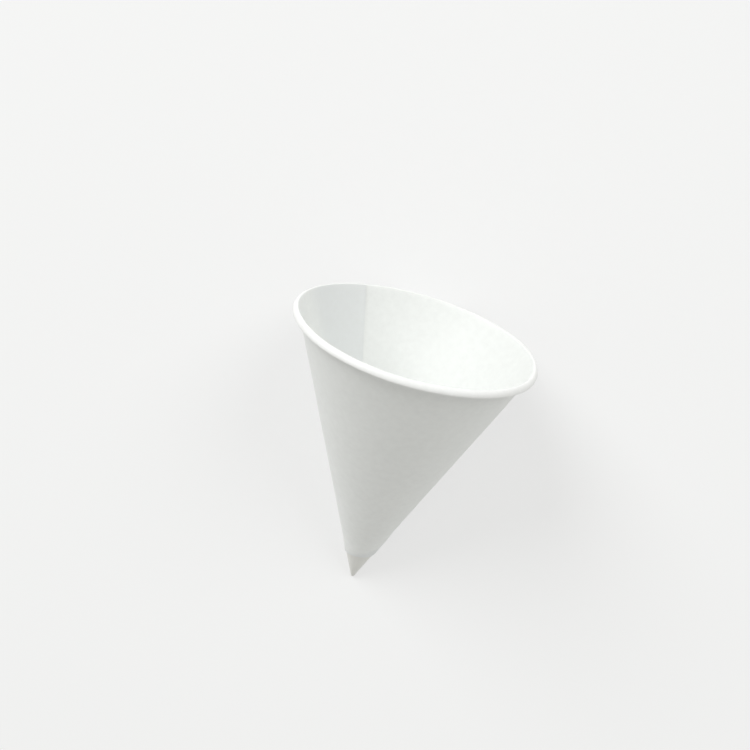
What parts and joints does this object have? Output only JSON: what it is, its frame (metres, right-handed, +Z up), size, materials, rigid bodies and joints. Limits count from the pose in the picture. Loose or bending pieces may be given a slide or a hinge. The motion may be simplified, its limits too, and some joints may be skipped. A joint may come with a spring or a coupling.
{
  "type": "paper cone cup",
  "caption": "Conical drinking cup wound from one sheet of white waxed paper, with a lapped glued seam and a rolled rim, lying on its side.",
  "frame": {"origin": "on the table, under the middle of the lying cup's bounding box", "axes": "+Z up from the table, +X along the table from the point to the mouth, +Y to the side where the sheet overlaps itself"},
  "size_m": [0.0988, 0.073, 0.0675],
  "materials": {
    "paper": "matte white paper with a thin wax coat"
  },
  "bodies": {
    "root": {"cone_cup": "paper"}
  },
  "joints": []
}
